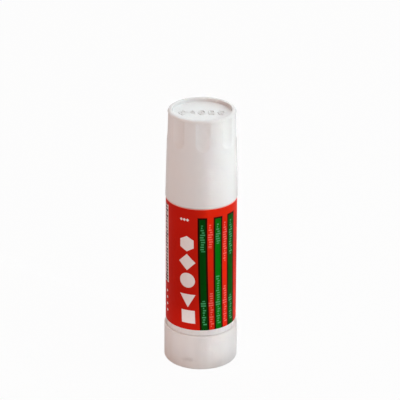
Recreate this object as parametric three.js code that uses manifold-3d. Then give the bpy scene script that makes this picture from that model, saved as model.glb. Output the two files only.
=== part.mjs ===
// A twist-up glue stick, closed with its cap and standing on its turning knob.
// Millimetres, +Z up. The origin is the middle of the foot, on the surface that it stands on.
// The front faces -Y. Angles round the stick are counted from the front towards +X.
// The stick is part used: its glue has been worn down until the bore round the screw is open.

import * as THREE from 'three';
import { mergeVertices } from 'three/addons/utils/BufferGeometryUtils.js';
import Module from 'manifold-3d';

const wasm = await Module();
wasm.setup();

// Running clearances
const slideClearance = 0.3;
const turnClearance = 0.3;
const seatGap = 0.3;
const threadClearance = 0.3;
const labelGap = 0.08;
const lipClearance = 0.15;

// Barrel
const boreRadius = 10.8;
const bodyWall = 2.0;
const bodyLength = 50.85;
const neckWall = 1.1;
const neckLength = 14.05;
const neckBeadHeight = 0.2;
const neckBeadWidth = 1.4;
const neckBeadRise = 2.6;
const mouthRound = 0.3;
const barrelEdge = 0.25;
const spigotWall = 1.15;
const spigotBeadWidth = 1.9;
const spigotBeadRise = 1.5;
const snapInterference = 0.25;
const webThickness = 1.4;
const webDrop = 2.0;
const webBossWall = 1.2;
const webBossHeight = 0.6;

// Keys inside the barrel that stop the carrier from turning
const keyCount = 4;
const keyHeight = 0.5;
const keyWidth = 1.4;
const keyStopBelowMouth = 3.0;

// Label
const labelThickness = 0.15;
const labelBottomMargin = 2.0;
const labelTopMargin = 0.15;

// Cap
const capWall = 1.0;
const capLength = 33.35;
const capDraftDegrees = 1.48;
const capEdgeRound = 0.5;
const capMouthRound = 0.35;
const capLeadIn = 0.3;
const capRoofThickness = 1.2;
const capRimWidth = 1.55;
const capRecessDepth = 1.5;
const capRecessRound = 0.4;
const capStopWidth = 1.2;
const capStopSetback = 0.3;

// Finger flutes of the cap, with a stop rib inside between each two
const fluteCount = 8;
const fluteTurnDegrees = 2.5;
const fluteWidth = 5.4;
const fluteDepth = 0.9;
const fluteLength = 11.0;
const fluteLip = 0.8;
const fluteWall = 0.6;

// Turning knob
const knobWall = 1.25;
const knobHeight = 13.8;
const knobFootRound = 0.8;
const knobTopRound = 0.4;
const knobFloor = 1.4;
const footRecess = 1.0;
const footRingWidth = 1.5;
const knobRibCount = 6;
const knobRibHeight = 1.6;
const knobRibWidth = 1.0;
const hubWall = 1.7;
const socketFloor = 0.8;

// Screw spindle
const footCornerRadius = 3.2;
const collarRadius = 4.6;
const collarThickness = 1.2;
const journalRadius = 3.3;
const journalStandUp = 0.8;
const threadRootRadius = 2.2;
const threadDepth = 0.9;
const threadLead = 5.0;
const threadCrest = 1.1;
const threadFlank = 0.8;
const spindleTopBelowMouth = 3.5;
const tipChamfer = 1.2;

// Carrier that the screw lifts
const carrierHeight = 9.0;
const carrierWall = 1.0;
const carrierDisc = 1.4;
const carrierSkirt = 3.0;
const carrierLipWidth = 0.8;
const carrierParkGap = 1.3;
const carrierTurnsUpAtRest = 7.5;
const nutWall = 1.5;
const nutRise = 4.0;
const carrierWebCount = 4;
const carrierWebWidth = 1.0;

// Glue
const glueTopBelowMouth = 1.8;
const glueEdgeRound = 1.4;
const glueDish = 0.35;

// Smoothness of the round shapes
const roundSides = 48;
const edgeSteps = 3;
const fluteSides = 52;
const ballSteps = 5;
const threadSides = 18;
const weldDistance = 1e-4;
const cutOverrun = 1.0;
const joinDepth = 0.3;

// Radii that follow from the bore and the walls
const neckRadius = boreRadius + neckWall;
const bodyRadius = boreRadius + bodyWall;
const spigotRadius = boreRadius + spigotWall;
const knobInnerRadius = spigotRadius + turnClearance;
const knobRadius = knobInnerRadius + knobWall;
const spigotBeadRadius = knobInnerRadius + snapInterference;
const labelInnerRadius = bodyRadius + labelGap;
const labelRadius = labelInnerRadius + labelThickness;
const capInnerRadius = neckRadius + slideClearance;
const capMouthRadius = capInnerRadius + capWall;
const carrierRadius = boreRadius - slideClearance;
const glueRadius = boreRadius - slideClearance;
const threadCrestRadius = threadRootRadius + threadDepth;
const webHoleRadius = journalRadius + turnClearance;
const nutRadius = threadCrestRadius + threadClearance + nutWall;
const hubRadius = footCornerRadius + hubWall;

// Heights that follow from the stack of pieces
const knobFloorTop = footRecess + knobFloor;
const spigotBottom = knobFloorTop + knobRibHeight + turnClearance;
const bodyBottom = knobHeight + seatGap;
const shoulder = bodyBottom + bodyLength;
const mouth = shoulder + neckLength;
const webTop = knobHeight - webDrop;
const webBottom = webTop - webThickness;
const collarTop = webBottom - turnClearance;
const collarBottom = collarTop - collarThickness;
const hubTop = collarBottom - seatGap;
const socketBottom = footRecess + socketFloor;
const threadBottom = webTop + webBossHeight + journalStandUp;
const spindleTop = mouth - spindleTopBelowMouth;
const carrierBottom = webTop + webBossHeight + carrierParkGap + carrierTurnsUpAtRest * threadLead;
const glueTop = mouth - glueTopBelowMouth;
const capBottom = shoulder + seatGap;
const draftSlope = Math.tan(THREE.MathUtils.degToRad(capDraftDegrees));

// Turns a closed geometry into a solid that can be cut and joined
function toSolid(geometry) {
  const bare = geometry.clone();
  bare.deleteAttribute('normal');
  bare.deleteAttribute('uv');
  const merged = mergeVertices(bare, weldDistance);
  const corners = merged.index.array;
  const triangles = [];
  for (let i = 0; i < corners.length; i += 3) {
    const [a, b, c] = corners.slice(i, i + 3);
    if (a !== b && b !== c && c !== a) {
      triangles.push(a, b, c);
    }
  }
  return new wasm.Manifold(new wasm.Mesh({
    numProp: 3,
    vertProperties: new Float32Array(merged.attributes.position.array),
    triVerts: new Uint32Array(triangles),
  }));
}

// Turns a cut solid back into a geometry
function toGeometry(solid) {
  const mesh = solid.getMesh();
  const geometry = new THREE.BufferGeometry();
  geometry.setAttribute('position', new THREE.BufferAttribute(mesh.vertProperties, 3));
  geometry.setIndex(new THREE.BufferAttribute(mesh.triVerts, 1));
  geometry.computeVertexNormals();
  return geometry;
}

// Revolves an outline of [radius, height] points, given anticlockwise, about the Z axis
function revolve(outline, sides = roundSides) {
  const points = outline.map(([radius, height]) => new THREE.Vector2(radius, height));
  const lathe = new THREE.LatheGeometry(points, sides);
  lathe.rotateX(Math.PI / 2);
  return toSolid(lathe);
}

// Closes an outline that doesn't touch the axis, then revolves it into a ring
function revolveRing(outline) {
  return revolve([...outline, outline[0]]);
}

// Points of a rounded edge in an outline, about its centre of curvature
function roundedEdge(radius, height, size, startDegrees, endDegrees, steps = edgeSteps) {
  const points = [];
  for (let i = 0; i <= steps; i++) {
    const angle = THREE.MathUtils.degToRad(startDegrees + ((endDegrees - startDegrees) * i) / steps);
    points.push([radius + size * Math.cos(angle), height + size * Math.sin(angle)]);
  }
  return points;
}

// Points of a raised or sunk band with 45-degree sides on a straight wall
function band(wallRadius, bandRadius, low, high) {
  const slope = Math.abs(bandRadius - wallRadius);
  return [
    [wallRadius, low],
    [bandRadius, low + slope],
    [bandRadius, high - slope],
    [wallRadius, high],
  ];
}

// A straight block that lies along a radius
function radialBlock({ inner, outer, width, bottom, top, degrees }) {
  const block = new THREE.BoxGeometry(width, outer - inner, top - bottom);
  block.translate(0, -(inner + outer) / 2, (bottom + top) / 2);
  block.rotateZ(THREE.MathUtils.degToRad(degrees));
  return toSolid(block);
}

// Calls a maker once for each of a ring of equal angles, and joins the results
function joinRound(count, firstDegrees, make) {
  const solids = [];
  for (let i = 0; i < count; i++) {
    solids.push(make(firstDegrees + (360 * i) / count));
  }
  return solids.reduce((joined, solid) => joined.add(solid));
}

// A left-hand screw body: its ridge is centred on crestHeight at the front, and again
// one lead higher or lower after each turn. The ends run past bottom and top.
function screwBody({ rootRadius, crestRadius, crest, flank, crestHeight, bottom, top }) {
  const corners = [
    [rootRadius, -crest / 2 - flank],
    [crestRadius, -crest / 2],
    [crestRadius, crest / 2],
    [rootRadius, crest / 2 + flank],
  ];
  const firstTurn = Math.floor((bottom - crestHeight) / threadLead) - 1;
  const turns = Math.ceil((top - bottom) / threadLead) + 4;
  const lastRow = corners.length * turns;
  const columnLength = lastRow + 1;
  const positions = [];
  for (let side = 0; side <= threadSides; side++) {
    const turn = side / threadSides;
    const angle = 2 * Math.PI * turn;
    for (let row = 0; row <= lastRow; row++) {
      const [radius, rise] = corners[row % corners.length];
      const lead = firstTurn + Math.floor(row / corners.length) - turn;
      positions.push(radius * Math.sin(angle), -radius * Math.cos(angle), crestHeight + lead * threadLead + rise);
    }
  }
  const lowApex = positions.length / 3;
  positions.push(0, 0, crestHeight + (firstTurn - 2) * threadLead);
  const highApex = lowApex + 1;
  positions.push(0, 0, crestHeight + (firstTurn + turns + 2) * threadLead);

  const corner = (side, row) => side * columnLength + row;
  const triangles = [];
  for (let side = 0; side < threadSides; side++) {
    for (let row = 0; row < lastRow; row++) {
      triangles.push(corner(side, row), corner(side + 1, row), corner(side + 1, row + 1));
      triangles.push(corner(side, row), corner(side + 1, row + 1), corner(side, row + 1));
    }
    triangles.push(lowApex, corner(side + 1, 0), corner(side, 0));
    triangles.push(highApex, corner(side, lastRow), corner(side + 1, lastRow));
  }
  for (let step = 0; step < corners.length; step++) {
    triangles.push(lowApex, corner(threadSides, step + 1), corner(threadSides, step));
    const row = lastRow - corners.length + step;
    triangles.push(highApex, corner(0, row), corner(0, row + 1));
  }
  const geometry = new THREE.BufferGeometry();
  geometry.setAttribute('position', new THREE.Float32BufferAttribute(positions, 3));
  geometry.setIndex(triangles);
  return toSolid(geometry);
}

// Outer radius of the cap at a height above its mouth
function capRadiusAt(height) {
  return capMouthRadius - height * draftSlope;
}

// Tube with a slim neck for the cap, a web that carries the screw, and a spigot that
// snaps into the knob. Four keys run up the bore.
function makeBarrel() {
  const neckTopRadius = neckRadius - neckLength * draftSlope;
  const neckBeadBottom = shoulder + neckBeadRise;
  const neckAt = (height) => neckRadius - (height - shoulder) * draftSlope;
  const beadBottom = spigotBottom + spigotBeadRise;
  const bossRadius = webHoleRadius + webBossWall;
  const tube = revolveRing([
    [boreRadius, spigotBottom],
    [spigotRadius - barrelEdge, spigotBottom],
    [spigotRadius, spigotBottom + barrelEdge],
    ...band(spigotRadius, spigotBeadRadius, beadBottom, beadBottom + spigotBeadWidth),
    [spigotRadius, bodyBottom],
    [bodyRadius - barrelEdge, bodyBottom],
    [bodyRadius, bodyBottom + barrelEdge],
    [bodyRadius, shoulder - barrelEdge],
    [bodyRadius - barrelEdge, shoulder],
    [neckRadius, shoulder],
    ...band(
      neckAt(neckBeadBottom),
      neckAt(neckBeadBottom) + neckBeadHeight,
      neckBeadBottom,
      neckBeadBottom + neckBeadWidth,
    ).map(([radius, height]) => [radius - (height - neckBeadBottom) * draftSlope, height]),
    ...roundedEdge(neckTopRadius - mouthRound, mouth - mouthRound, mouthRound, 0, 90),
    [boreRadius, mouth],
    [boreRadius, webTop],
    [bossRadius, webTop],
    [bossRadius, webTop + webBossHeight],
    [webHoleRadius, webTop + webBossHeight],
    [webHoleRadius, webBottom],
    [boreRadius, webBottom],
  ]);
  const keys = joinRound(keyCount, 0, (degrees) => radialBlock({
    inner: boreRadius - keyHeight,
    outer: boreRadius + joinDepth,
    width: keyWidth,
    bottom: webTop - joinDepth,
    top: mouth - keyStopBelowMouth,
    degrees,
  }));
  return tube.add(keys);
}

// Thin printed wrap round the body of the barrel
function makeLabel() {
  const bottom = bodyBottom + labelBottomMargin;
  const top = shoulder - labelTopMargin;
  return revolveRing([
    [labelInnerRadius, bottom],
    [labelRadius, bottom],
    [labelRadius, top],
    [labelInnerRadius, top],
  ]);
}

// The round tool that sinks one flute: a leaning rod with a ball at its lower end.
// The rod's skin lies at the given depth below the outside of the cap.
function fluteTool(toolRadius, axisOffset, ballHeight, endHeight, degrees) {
  const outline = [
    ...roundedEdge(0, 0, toolRadius, -90, 0, ballSteps),
    [toolRadius, endHeight - ballHeight],
    [0, endHeight - ballHeight],
  ];
  const points = outline.map(([radius, height]) => new THREE.Vector2(radius, height));
  const tool = new THREE.LatheGeometry(points, fluteSides);
  tool.rotateX(Math.PI / 2);
  tool.rotateX(-Math.atan(draftSlope));
  tool.translate(0, -(capRadiusAt(ballHeight) + axisOffset), ballHeight);
  tool.rotateZ(THREE.MathUtils.degToRad(degrees));
  return toSolid(tool);
}

// Cap: a drafted shell with a sunk top, eight flutes pressed in below the rim, and stop
// ribs inside that meet the lip of the barrel. Its mouth is at height 0.
function makeCap() {
  const topRadius = capRadiusAt(capLength);
  const recessRadius = topRadius - capRimWidth;
  const recessHeight = capLength - capRecessDepth;
  const roof = recessHeight - capRoofThickness;
  const fluteTop = capLength - fluteLip;
  const fluteFoot = fluteTop - fluteLength;
  const outside = revolve([
    [0, 0],
    ...roundedEdge(capMouthRadius - capMouthRound, capMouthRound, capMouthRound, -90, 0),
    [capRadiusAt(fluteFoot), fluteFoot],
    ...roundedEdge(topRadius - capEdgeRound, capLength - capEdgeRound, capEdgeRound, 0, 90),
    [recessRadius + barrelEdge, capLength],
    [recessRadius, capLength - barrelEdge],
    ...roundedEdge(recessRadius - capRecessRound, recessHeight + capRecessRound, capRecessRound, 0, -90),
    [0, recessHeight],
  ]);

  const halfWidth = fluteWidth / 2;
  const fluteRadiusHere = capRadiusAt(capLength - fluteLip - fluteLength / 2);
  const wallBulge = fluteRadiusHere - Math.sqrt(fluteRadiusHere ** 2 - halfWidth ** 2);
  const chordDepth = fluteDepth - wallBulge;
  const toolRadius = (halfWidth ** 2 + chordDepth ** 2) / (2 * chordDepth);
  const axisOffset = toolRadius - fluteDepth;
  const ballReach = Math.sqrt(toolRadius ** 2 - axisOffset ** 2);
  const ballHeight = fluteFoot + ballReach;
  const flutes = joinRound(fluteCount, fluteTurnDegrees, (degrees) =>
    fluteTool(toolRadius, axisOffset, ballHeight, fluteTop, degrees));
  const fluteBacks = joinRound(fluteCount, fluteTurnDegrees, (degrees) =>
    fluteTool(toolRadius + fluteWall, axisOffset, ballHeight, capLength, degrees));

  const innerAt = (height) => capInnerRadius - height * draftSlope;
  const grooveBottom = neckBeadRise - seatGap - slideClearance;
  const grooveTop = grooveBottom + neckBeadWidth + 2 * slideClearance;
  const inside = revolve([
    [0, -cutOverrun],
    [capInnerRadius + capLeadIn, -cutOverrun],
    [capInnerRadius + capLeadIn, 0],
    [innerAt(capLeadIn), capLeadIn],
    ...band(
      innerAt(grooveBottom),
      innerAt(grooveBottom) + neckBeadHeight,
      grooveBottom,
      grooveTop,
    ).map(([radius, height]) => [radius - (height - grooveBottom) * draftSlope, height]),
    ...roundedEdge(innerAt(roof) - capRecessRound, roof - capRecessRound, capRecessRound, 0, 90),
    [0, roof],
  ]).subtract(fluteBacks);

  const stops = joinRound(fluteCount, fluteTurnDegrees + 180 / fluteCount, (degrees) => radialBlock({
    inner: boreRadius + capStopSetback,
    outer: innerAt(roof) + joinDepth,
    width: capStopWidth,
    bottom: neckLength,
    top: roof + joinDepth,
    degrees,
  }));
  return outside.subtract(flutes).subtract(inside).add(stops);
}

// Knob: a cup that turns on the spigot of the barrel. Its hub drives the screw through
// a six-sided socket, and it stands on a ring under its floor.
function makeKnob() {
  const beadBottom = spigotBottom + spigotBeadRise;
  const grooveRadius = spigotBeadRadius + turnClearance;
  const ringOuter = knobRadius - knobFootRound;
  const ringInner = ringOuter - footRingWidth;
  const cup = revolve([
    [0, footRecess],
    [ringInner - footRecess / 2, footRecess],
    [ringInner, 0],
    ...roundedEdge(knobRadius - knobFootRound, knobFootRound, knobFootRound, -90, 0),
    ...roundedEdge(knobRadius - knobTopRound, knobHeight - knobTopRound, knobTopRound, 0, 90),
    [knobInnerRadius + barrelEdge, knobHeight],
    [knobInnerRadius, knobHeight - barrelEdge],
    ...band(
      knobInnerRadius,
      grooveRadius,
      beadBottom - turnClearance,
      beadBottom + spigotBeadWidth + turnClearance,
    ).reverse(),
    [knobInnerRadius, knobFloorTop],
    [hubRadius, knobFloorTop],
    [hubRadius, hubTop],
    [0, hubTop],
  ]);
  const ribs = joinRound(knobRibCount, 180 / knobRibCount, (degrees) => radialBlock({
    inner: hubRadius - joinDepth,
    outer: knobInnerRadius + joinDepth,
    width: knobRibWidth,
    bottom: knobFloorTop - joinDepth,
    top: knobFloorTop + knobRibHeight,
    degrees,
  }));
  const socketCorner = footCornerRadius + seatGap / Math.cos(Math.PI / 6);
  return cup.add(ribs).subtract(hexagon(socketCorner, socketBottom, hubTop + cutOverrun));
}

// A six-sided prism about the Z axis
function hexagon(cornerRadius, bottom, top) {
  const prism = new THREE.CylinderGeometry(cornerRadius, cornerRadius, top - bottom, 6);
  prism.rotateX(Math.PI / 2);
  prism.translate(0, 0, (bottom + top) / 2);
  return toSolid(prism);
}

// Screw spindle: a six-sided foot, a collar under the web, a journal through the web,
// and a left-hand thread up the middle of the barrel
function makeSpindle() {
  const foot = hexagon(footCornerRadius, socketBottom + seatGap, collarBottom + collarThickness / 2);
  const shaft = revolve([
    [0, collarBottom],
    [collarRadius, collarBottom],
    [collarRadius, collarTop],
    [journalRadius, collarTop],
    [journalRadius, threadBottom - joinDepth],
    [threadRootRadius, threadBottom],
    [threadRootRadius, spindleTop - tipChamfer],
    [threadRootRadius / 2, spindleTop],
    [0, spindleTop],
  ], threadSides);
  const screw = screwBody({
    rootRadius: threadRootRadius,
    crestRadius: threadCrestRadius,
    crest: threadCrest,
    flank: threadFlank,
    crestHeight: threadBottom,
    bottom: threadBottom,
    top: spindleTop,
  });
  const envelope = revolve([
    [0, threadBottom - joinDepth],
    [threadCrestRadius, threadBottom - joinDepth],
    [threadCrestRadius + joinDepth, threadBottom],
    [threadCrestRadius + joinDepth, spindleTop - tipChamfer - threadDepth],
    [threadRootRadius, spindleTop - tipChamfer],
    [threadRootRadius / 2, spindleTop],
    [0, spindleTop],
  ], threadSides);
  return screw.intersect(envelope).add(shaft).add(foot);
}

// Carrier: a cup that holds the foot of the glue, with a skirt, sealing lips, notches
// for the keys, and a nut in its middle that runs on the screw. Its bottom is at height 0.
function makeCarrier() {
  const skirtInner = carrierRadius - carrierWall;
  const lipRadius = boreRadius - lipClearance;
  const lipSlope = lipRadius - carrierRadius;
  const discTop = carrierSkirt + carrierDisc;
  const body = revolve([
    [0, 0],
    [nutRadius, 0],
    [nutRadius, carrierSkirt],
    [skirtInner, carrierSkirt],
    [skirtInner, 0],
    [lipRadius, 0],
    [lipRadius, carrierLipWidth],
    [carrierRadius, carrierLipWidth + lipSlope],
    [carrierRadius, carrierHeight - carrierLipWidth - lipSlope],
    [lipRadius, carrierHeight - carrierLipWidth],
    [lipRadius, carrierHeight],
    [skirtInner, carrierHeight],
    [skirtInner, discTop],
    [nutRadius, discTop],
    [nutRadius, discTop + nutRise],
    [0, discTop + nutRise],
  ]);
  const webs = joinRound(carrierWebCount, 180 / carrierWebCount, (degrees) => radialBlock({
    inner: nutRadius - joinDepth,
    outer: skirtInner + joinDepth,
    width: carrierWebWidth,
    bottom: joinDepth,
    top: carrierSkirt + joinDepth,
    degrees,
  }));
  const thread = screwBody({
    rootRadius: threadRootRadius + threadClearance,
    crestRadius: threadCrestRadius + threadClearance,
    crest: threadCrest + 2 * threadClearance,
    flank: threadFlank,
    crestHeight: threadBottom - carrierBottom,
    bottom: -cutOverrun,
    top: discTop + nutRise + cutOverrun,
  });
  return body.add(webs).subtract(thread).subtract(keyways(-cutOverrun, carrierHeight + cutOverrun));
}

// Four slots that clear the keys of the barrel
function keyways(bottom, top) {
  return joinRound(keyCount, 0, (degrees) => radialBlock({
    inner: boreRadius - keyHeight - slideClearance,
    outer: boreRadius + cutOverrun,
    width: keyWidth + 2 * slideClearance,
    bottom,
    top,
    degrees,
  }));
}

// Glue: its foot fills the carrier's cup, and its worn top is dished, with a round edge.
// Heights count from the bottom of the carrier.
function makeGlue() {
  const cupRadius = carrierRadius - carrierWall - slideClearance;
  const foot = carrierSkirt + carrierDisc + seatGap;
  const ledge = carrierHeight + seatGap;
  const nutPocket = nutRadius + threadClearance;
  const nutPocketTop = carrierSkirt + carrierDisc + nutRise + seatGap;
  const screwBore = threadCrestRadius + threadClearance;
  const top = glueTop - carrierBottom;
  const column = revolveRing([
    [nutPocket, foot],
    [cupRadius, foot],
    [cupRadius, ledge],
    [glueRadius, ledge],
    ...roundedEdge(glueRadius - glueEdgeRound, top - glueEdgeRound, glueEdgeRound, 0, 80),
    [screwBore, top - glueDish],
    [screwBore, nutPocketTop],
    [nutPocket, nutPocketTop],
  ]);
  return column.subtract(keyways(foot - cutOverrun, top + cutOverrun));
}

// Makes a named mesh with a plastic-like finish of its own
function piece(name, solid, color, roughness) {
  const material = new THREE.MeshStandardMaterial({ color, roughness, metalness: 0 });
  const mesh = new THREE.Mesh(toGeometry(solid), material);
  mesh.name = name;
  return mesh;
}

const glueStick = new THREE.Group();
glueStick.add(piece('barrel', makeBarrel(), 0xe8e4df, 0.32));
glueStick.add(piece('label', makeLabel(), 0xbf1810, 0.28));
glueStick.add(piece('knob', makeKnob(), 0xd9d2cc, 0.36));
glueStick.add(piece('spindle', makeSpindle(), 0xe4e1dc, 0.4));

const lift = new THREE.Group();
lift.position.z = carrierBottom;
lift.add(piece('carrier', makeCarrier(), 0xe6e3de, 0.38));
lift.add(piece('glue', makeGlue(), 0xf1ede2, 0.45));
glueStick.add(lift);

const cap = piece('cap', makeCap(), 0xe9e6e3, 0.25);
cap.position.z = capBottom;
glueStick.add(cap);

export default glueStick;
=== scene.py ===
import math

import bmesh
import bpy
from mathutils import Matrix, Vector


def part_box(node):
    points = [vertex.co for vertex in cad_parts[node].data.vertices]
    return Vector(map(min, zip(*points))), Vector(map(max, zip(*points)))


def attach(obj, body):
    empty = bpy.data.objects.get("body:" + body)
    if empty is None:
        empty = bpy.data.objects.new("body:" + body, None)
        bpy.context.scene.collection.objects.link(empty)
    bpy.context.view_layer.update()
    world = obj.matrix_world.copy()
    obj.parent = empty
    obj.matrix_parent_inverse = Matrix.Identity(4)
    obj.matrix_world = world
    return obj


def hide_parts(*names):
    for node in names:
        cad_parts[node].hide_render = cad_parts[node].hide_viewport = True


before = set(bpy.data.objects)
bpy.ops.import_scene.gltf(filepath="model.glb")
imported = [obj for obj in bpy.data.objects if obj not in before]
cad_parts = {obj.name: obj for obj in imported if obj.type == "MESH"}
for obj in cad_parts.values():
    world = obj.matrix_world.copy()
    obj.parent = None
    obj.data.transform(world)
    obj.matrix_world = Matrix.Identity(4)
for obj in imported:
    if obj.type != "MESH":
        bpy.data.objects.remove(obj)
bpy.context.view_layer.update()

# The barrel: a thick white tube, injection moulded in polypropylene. Its slim neck takes the
# cap, its spigot snaps into the knob, and four keys in the bore stop the carrier from turning.
# Sizes are in mm, but for the studio's floor and lamps, and angles run from the front to +X.
MM = 0.001
HAIR = 0.01
ON_AXIS = 0.000001
SAME_PLACE = 0.0001 * MM
FILLET_REACH = 0.42
HOLD_REACH = 0.3
NEARLY_STRAIGHT = 0.02
BORE = 10.8
BODY_WALL = 2.0
NECK_WALL = 1.1
SPIGOT_WALL = 1.15
DRAFT = math.tan(math.radians(1.48))
BODY_BOTTOM = 13.82
SHOULDER = 64.9
NECK_BEAD_LOW = 67.55
NECK_BEAD_HIGH = 68.95
NECK_BEAD_RISE = 0.2
NECK_BEAD_SLOPE = 0.3
SNAP_BEAD_LOW = 5.8
SNAP_BEAD_HIGH = 7.7
SNAP_BEAD_RADIUS = 12.5
SNAP_SLOPE = 0.55
WEB_LOW = 10.4
WEB_HIGH = 11.8
WEB_HOLE = 3.6
WEB_BOSS = WEB_HOLE + 1.2
WEB_BOSS_TOP = WEB_HIGH + 0.6
KEY_COUNT = 4
KEY_HEIGHT = 0.5
KEY_WIDTH = 1.4
KEY_FLANK = 0.12
KEY_FOOT = WEB_HIGH + 0.5
KEY_TOP = 76.0
# The barrel's white is set a little darker than the knob's: painted shade on the bare band below
# the label.
BARREL_WHITE = (0.83, 0.80, 0.78)
PLASTIC_IOR = 1.49
MOST_NOISE = (0.3, 0.7)
CLOUD_SIZE = 9
FLOW_SIZE = 1.6
SCRATCH_SIZE = 0.5
GRAIN_SIZE = 0.35
SKIN_DEPTH = 0.006
GLOW_DEPTH = 2.5


def rounded_outline(corners, closed, steps=5, hold=0.12):
    """Points of an outline whose (radius, height, fillet) corners are rounded, with a
    holding point beside each rounding so that the straight walls shade flat."""
    points = []
    count = len(corners)
    for i, (radius, height, fillet) in enumerate(corners):
        here = Vector((radius, height))
        if not closed and i in (0, count - 1):
            points.append(here)
            continue
        before = Vector(corners[i - 1][:2]) - here
        after = Vector(corners[(i + 1) % count][:2]) - here
        room = FILLET_REACH * min(before.length, after.length)
        half_angle = before.angle(after) / 2
        if fillet <= 0 or math.pi / 2 - half_angle < NEARLY_STRAIGHT:
            points.append(here)
            continue
        run = min(fillet / math.tan(half_angle), room)
        fillet = run * math.tan(half_angle)
        before.normalize()
        after.normalize()
        centre = here + (before + after).normalized() * (fillet / math.sin(half_angle))
        spoke = here + before * run - centre
        turn = math.pi - 2 * half_angle
        side = 1 if before.x * after.y - before.y * after.x < 0 else -1
        margin = min(hold, room * HOLD_REACH)
        points.append(here + before * (run + margin))
        for step in range(steps + 1):
            angle = side * turn * step / steps
            points.append(centre + Matrix.Rotation(angle, 2) @ spoke)
        points.append(here + after * (run + margin))
    return points


def faces_between(low, high):
    """The faces between two rings of points, with three corners where a ring is one point."""
    for side in range(len(low)):
        after = (side + 1) % len(low)
        corners = [low[side], low[after], high[after], high[side]]
        face = [corner for i, corner in enumerate(corners) if corner != corners[i - 1]]
        if len(face) > 2:
            yield face


def turned_piece(name, outline, sides, closed=False, reshape=None):
    """A piece turned about the stick's axis. reshape gives a point's radius from its own
    radius, height and angle, for what isn't round, such as keys, flutes and threads."""
    vertices, rings, faces = [], [], []
    for radius, height in outline:
        if radius < ON_AXIS:
            rings.append([len(vertices)] * sides)
            vertices.append((0, 0, height * MM))
            continue
        rings.append(range(len(vertices), len(vertices) + sides))
        for side in range(sides):
            angle = 2 * math.pi * side / sides
            r = reshape(radius, height, angle) if reshape else radius
            vertices.append((r * math.sin(angle) * MM, -r * math.cos(angle) * MM, height * MM))
    pairs = list(zip(rings, rings[1:]))
    if closed:
        pairs.append((rings[-1], rings[0]))
    for low, high in pairs:
        faces.extend(faces_between(low, high))
    mesh = bpy.data.meshes.new(name)
    mesh.from_pydata(vertices, [], faces)
    shell = bmesh.new()
    shell.from_mesh(mesh)
    bmesh.ops.remove_doubles(shell, verts=shell.verts, dist=SAME_PLACE)
    bmesh.ops.dissolve_degenerate(shell, edges=shell.edges, dist=SAME_PLACE)
    shell.to_mesh(mesh)
    shell.free()
    mesh.validate()
    mesh.shade_smooth()
    made = bpy.data.objects.new(name, mesh)
    bpy.context.collection.objects.link(made)
    return made


def nearest_of(count, first, angle):
    """How far an angle lies from the nearest of a ring of equal angles."""
    pitch = 2 * math.pi / count
    return (angle - first + pitch / 2) % pitch - pitch / 2


def barrel_keys(radius, height, angle):
    """Draws the bore in where a key stands on it."""
    if radius > BORE + HAIR or not KEY_FOOT < height < KEY_TOP:
        return radius
    across = abs(nearest_of(KEY_COUNT, 0, angle)) * radius
    rise = min(max((KEY_WIDTH / 2 - across) / KEY_FLANK + 0.5, 0), 1)
    return radius - KEY_HEIGHT * rise


class Recipe:
    """A tree of nodes, and short ways to add to it."""

    def __init__(self, tree):
        self.tree = tree

    def node(self, kind, inputs, **settings):
        """A new node, with its inputs linked to outputs or set to values."""
        made = self.tree.nodes.new(kind)
        for key, value in settings.items():
            setattr(made, key, value)
        for key, value in inputs.items():
            if isinstance(value, bpy.types.NodeSocket):
                self.tree.links.new(value, made.inputs[key])
            else:
                made.inputs[key].default_value = value
        return made

    def calc(self, operation, *values):
        """The result of one sum on numbers."""
        inputs = dict(enumerate(values))
        return self.node("ShaderNodeMath", inputs, operation=operation).outputs[0]

    def vector(self, operation, *values):
        """The outputs of one sum on vectors."""
        inputs = dict(enumerate(values))
        return self.node("ShaderNodeVectorMath", inputs, operation=operation).outputs

    def spread(self, value, low, high, to_low, to_high, smooth=False):
        """Spreads one range of a value over another, and holds it beyond the ends."""
        inputs = {
            "Value": value,
            "From Min": low,
            "From Max": high,
            "To Min": to_low,
            "To Max": to_high,
        }
        kind = "SMOOTHSTEP" if smooth else "LINEAR"
        return self.node("ShaderNodeMapRange", inputs, interpolation_type=kind).outputs["Result"]

    def blend(self, cover, under, over):
        """The under colour, with the over colour laid on it by a cover from 0 to 1."""
        inputs = {0: cover, 6: under, 7: over}
        return self.node("ShaderNodeMix", inputs, data_type="RGBA").outputs[2]


class Finish(Recipe):
    """A material with its own shader, measured in the stick's own coordinates."""

    def __init__(self, name):
        self.material = bpy.data.materials.new(name)
        self.material.use_nodes = True
        super().__init__(self.material.node_tree)
        self.shader = self.tree.nodes["Principled BSDF"]
        self.place = self.node("ShaderNodeTexCoord", {}).outputs["Object"]

    def noise(self, size, detail=2.0, stretch=(1, 1, 1), roughness=0.5):
        """Noise with features of about the given size in millimetres."""
        scale = [s / (size * MM) for s in stretch]
        inputs = {
            "Vector": self.vector("MULTIPLY", self.place, scale)[0],
            "Scale": 1.0,
            "Detail": detail,
            "Roughness": roughness,
        }
        return self.node("ShaderNodeTexNoise", inputs).outputs["Fac"]

    def connect(self, **outputs):
        """Links outputs to the shader's sockets, whose names have _ for a space."""
        for key, value in outputs.items():
            self.tree.links.new(value, self.shader.inputs[key.replace("_", " ")])

    def bump(self, height, depth, strength=1.0):
        """Relief from a 0 to 1 height, with the given depth in millimetres."""
        inputs = {"Height": height, "Distance": depth * MM, "Strength": strength}
        self.connect(Normal=self.node("ShaderNodeBump", inputs).outputs["Normal"])

    def put_on(self, piece):
        """Makes this the only material of a piece."""
        piece.data.materials.clear()
        piece.data.materials.append(self.material)


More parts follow.
